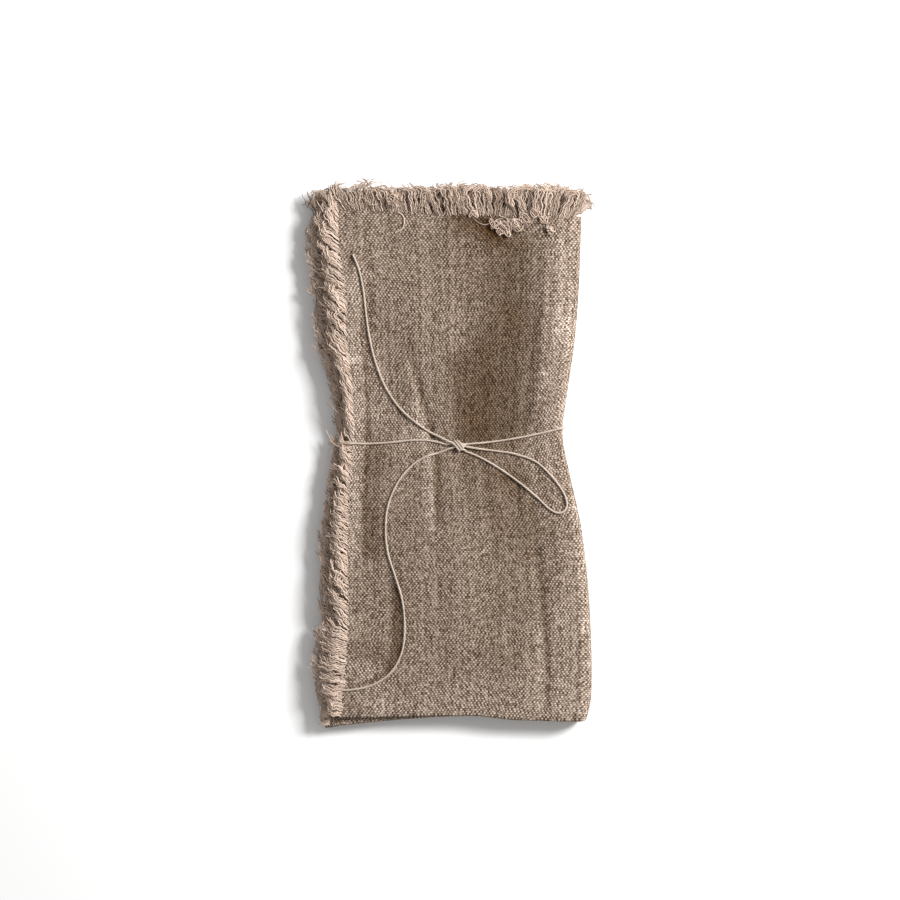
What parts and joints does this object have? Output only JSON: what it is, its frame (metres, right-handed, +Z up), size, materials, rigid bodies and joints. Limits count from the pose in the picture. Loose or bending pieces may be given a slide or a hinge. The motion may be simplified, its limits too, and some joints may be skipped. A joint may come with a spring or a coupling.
{
  "type": "folded cloth napkin",
  "caption": "Linen napkin with a frayed hem, folded into a flat oblong and tied round its waist with thin twine in a one-loop bow.",
  "frame": {"origin": "on the surface that the napkin lies on, under the middle of the folded napkin with its fringe", "axes": "+X towards the smooth round fold, +Y towards the frayed top edge, +Z up"},
  "size_m": [0.1389, 0.2573, 0.0139],
  "materials": {
    "linen": "coarse plain weave in warm grey-brown, matte",
    "frayed_linen": "loose crimped threads, matte",
    "waxed_twine": "pale waxed twine, faint sheen"
  },
  "bodies": {
    "root": {"cloth": "linen", "fringe_left_1": "frayed_linen", "fringe_left_2": "frayed_linen", "fringe_left_3": "frayed_linen", "fringe_left_4": "frayed_linen", "fringe_top_1": "frayed_linen", "fringe_top_2": "frayed_linen", "fringe_top_3": "frayed_linen", "fringe_top_4": "frayed_linen", "fringe_top_5": "frayed_linen", "fringe_top_6": "frayed_linen", "fringe_top_7": "frayed_linen", "fringe_top_8": "frayed_linen", "tie_band": "waxed_twine", "tie_loop": "waxed_twine", "tie_end_upper": "waxed_twine", "tie_end_lower": "waxed_twine", "tie_knot": "waxed_twine"}
  },
  "joints": []
}
